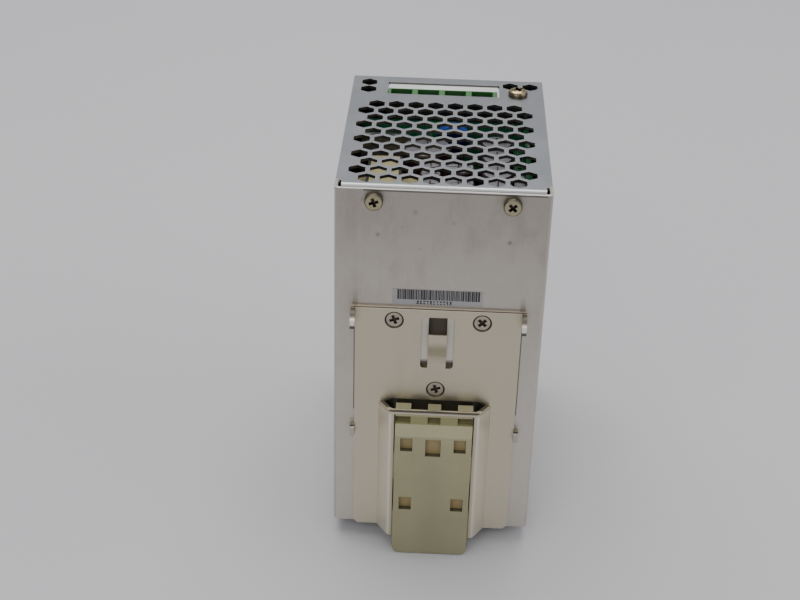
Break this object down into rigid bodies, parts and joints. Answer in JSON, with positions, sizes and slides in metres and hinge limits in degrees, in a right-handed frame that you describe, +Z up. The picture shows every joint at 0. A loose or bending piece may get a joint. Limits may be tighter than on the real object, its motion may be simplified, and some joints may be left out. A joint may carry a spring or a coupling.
{
  "type": "din rail power supply",
  "caption": "Boxy sheet metal power supply with hexagon vents, screw terminals and a rear rail clip whose sliding nylon latch grips a 35 mm rail.",
  "frame": {"origin": "middle of the footprint, at the height of the latch's lower end, which is the lowest point", "axes": "+Z up, front panel with the terminals towards -Y, rail bracket towards +Y, +X to the right seen from the front"},
  "size_m": [0.0654, 0.1001, 0.1331],
  "materials": {
    "cover_zinc": "semi-bright zinc plated sheet, faint rolling grain",
    "chassis_zinc": "matt grey zinc plated sheet",
    "bracket_nickel": "warm satin nickel plate",
    "latch_nylon": "natural translucent nylon",
    "spring_steel": "drawn wire",
    "screw_nickel": "nickel plated",
    "screw_chromate": "yellow chromate on zinc",
    "terminal_green": "moulded green",
    "guard_white": "moulded white",
    "board_green": "solder mask",
    "sleeve_brown": "shrink sleeve, bare aluminium top",
    "sleeve_black": "shrink sleeve",
    "film_yellow": "epoxy box",
    "disc_blue": "epoxy dip",
    "ferrite": "sintered",
    "tape_cream": "polyester tape",
    "copper_wire": "enamelled copper",
    "aluminium_plain": "rolled",
    "package_black": "moulded epoxy",
    "glass_fuse": "clear tube",
    "plated_steel": "bright zinc",
    "tinned_copper": "tin plated",
    "insulator_black": "thin insulation sheet",
    "trimmer_blue": "moulded",
    "trimmer_white": "moulded",
    "lamp_green": "tinted clear",
    "label_white": "printed sticker",
    "label_grey": "printed polyester sheet"
  },
  "bodies": {
    "case": {"barcode_label": "label_white", "board_posts": "plated_steel", "board_screws": "screw_nickel", "bracket_screws": "screw_nickel", "bridge_rectifier": "package_black", "bulk_capacitor": "sleeve_black", "din_bracket": "bracket_nickel", "disc_capacitors": "disc_blue", "earth_screw": "screw_chromate", "filter_board": "board_green", "front_chassis": "chassis_zinc", "front_label": "label_grey", "indicator_board": "board_green", "input_board": "board_green", "input_contacts": "tinned_copper", "input_guard": "guard_white", "input_terminal_block": "terminal_green", "insulation_sheet": "insulator_black", "latch_spring": "spring_steel", "line_choke_core": "ferrite", "line_choke_winding": "copper_wire", "line_film_capacitor": "film_yellow", "line_fuse": "glass_fuse", "main_board": "board_green", "output_board": "board_green", "output_capacitors": "sleeve_brown", "output_contacts": "tinned_copper", "output_diodes": "package_black", "output_guard": "guard_white", "output_heat_sink": "aluminium_plain", "output_inductor_core": "ferrite", "output_inductor_winding": "copper_wire", "output_reservoir_capacitor": "sleeve_brown", "output_terminal_block": "terminal_green", "primary_heat_sink": "aluminium_plain", "rear_cover": "cover_zinc", "rear_screws": "screw_nickel", "riser_board": "board_green", "side_screws": "screw_nickel", "status_lamp": "lamp_green", "switching_transistors": "package_black", "transformer_core": "ferrite", "transformer_winding": "tape_cream", "trimmer_body": "trimmer_blue"},
    "latch": {"din_latch": "latch_nylon"},
    "input_clamp_1": {"input_clamp_1": "plated_steel"},
    "input_clamp_2": {"input_clamp_2": "plated_steel"},
    "input_clamp_3": {"input_clamp_3": "plated_steel"},
    "input_screw_1": {"input_screw_1": "plated_steel"},
    "input_screw_2": {"input_screw_2": "plated_steel"},
    "input_screw_3": {"input_screw_3": "plated_steel"},
    "output_clamp_1": {"output_clamp_1": "plated_steel"},
    "output_clamp_2": {"output_clamp_2": "plated_steel"},
    "output_clamp_3": {"output_clamp_3": "plated_steel"},
    "output_clamp_4": {"output_clamp_4": "plated_steel"},
    "output_screw_1": {"output_screw_1": "plated_steel"},
    "output_screw_2": {"output_screw_2": "plated_steel"},
    "output_screw_3": {"output_screw_3": "plated_steel"},
    "output_screw_4": {"output_screw_4": "plated_steel"},
    "trimmer": {"trimmer_rotor": "trimmer_white"}
  },
  "joints": [
    {"name": "latch_slide", "type": "slide", "parent": "case", "child": "latch", "axis": [0, 0, -1], "range_m": [0, 0.006], "stiffness_N_per_m": 300, "springref_m": -0.004, "deforming": ["latch_spring"]},
    {"name": "trimmer_turn", "type": "hinge", "parent": "case", "child": "trimmer", "pos_m": [-0.025, -0.0455, 0.1121], "axis": [0, -1, 0], "range_deg": [-130, 130]},
    {"name": "output_screw_1_turn", "type": "hinge", "parent": "case", "child": "output_screw_1", "pos_m": [-0.01185, -0.0435, 0.1173], "axis": [0, 1, 0], "range_deg": [0, 1080.5]},
    {"name": "output_clamp_1_slide", "type": "slide", "parent": "case", "child": "output_clamp_1", "axis": [0, -1, 0], "range_m": [0, 0.0021]},
    {"name": "output_screw_2_turn", "type": "hinge", "parent": "case", "child": "output_screw_2", "pos_m": [-0.00265, -0.0435, 0.1173], "axis": [0, 1, 0], "range_deg": [0, 1080.5]},
    {"name": "output_clamp_2_slide", "type": "slide", "parent": "case", "child": "output_clamp_2", "axis": [0, -1, 0], "range_m": [0, 0.0021]},
    {"name": "output_screw_3_turn", "type": "hinge", "parent": "case", "child": "output_screw_3", "pos_m": [0.00655, -0.0435, 0.1173], "axis": [0, 1, 0], "range_deg": [0, 1080.5]},
    {"name": "output_clamp_3_slide", "type": "slide", "parent": "case", "child": "output_clamp_3", "axis": [0, -1, 0], "range_m": [0, 0.0021]},
    {"name": "output_screw_4_turn", "type": "hinge", "parent": "case", "child": "output_screw_4", "pos_m": [0.01575, -0.0435, 0.1173], "axis": [0, 1, 0], "range_deg": [0, 1080.5]},
    {"name": "output_clamp_4_slide", "type": "slide", "parent": "case", "child": "output_clamp_4", "axis": [0, -1, 0], "range_m": [0, 0.0021]},
    {"name": "input_screw_1_turn", "type": "hinge", "parent": "case", "child": "input_screw_1", "pos_m": [-0.0092, -0.0435, 0.0189], "axis": [0, 1, 0], "range_deg": [0, 1080.5]},
    {"name": "input_clamp_1_slide", "type": "slide", "parent": "case", "child": "input_clamp_1", "axis": [0, -1, 0], "range_m": [0, 0.0021]},
    {"name": "input_screw_2_turn", "type": "hinge", "parent": "case", "child": "input_screw_2", "pos_m": [0, -0.0435, 0.0189], "axis": [0, 1, 0], "range_deg": [0, 1080.5]},
    {"name": "input_clamp_2_slide", "type": "slide", "parent": "case", "child": "input_clamp_2", "axis": [0, -1, 0], "range_m": [0, 0.0021]},
    {"name": "input_screw_3_turn", "type": "hinge", "parent": "case", "child": "input_screw_3", "pos_m": [0.0092, -0.0435, 0.0189], "axis": [0, 1, 0], "range_deg": [0, 1080.5]},
    {"name": "input_clamp_3_slide", "type": "slide", "parent": "case", "child": "input_clamp_3", "axis": [0, -1, 0], "range_m": [0, 0.0021]}
  ],
  "couplings": [
    {"joint": "output_screw_1_turn", "follows": "output_clamp_1_slide", "rad_per_m": 8976},
    {"joint": "output_screw_2_turn", "follows": "output_clamp_2_slide", "rad_per_m": 8976},
    {"joint": "output_screw_3_turn", "follows": "output_clamp_3_slide", "rad_per_m": 8976},
    {"joint": "output_screw_4_turn", "follows": "output_clamp_4_slide", "rad_per_m": 8976},
    {"joint": "input_screw_1_turn", "follows": "input_clamp_1_slide", "rad_per_m": 8976},
    {"joint": "input_screw_2_turn", "follows": "input_clamp_2_slide", "rad_per_m": 8976},
    {"joint": "input_screw_3_turn", "follows": "input_clamp_3_slide", "rad_per_m": 8976}
  ]
}
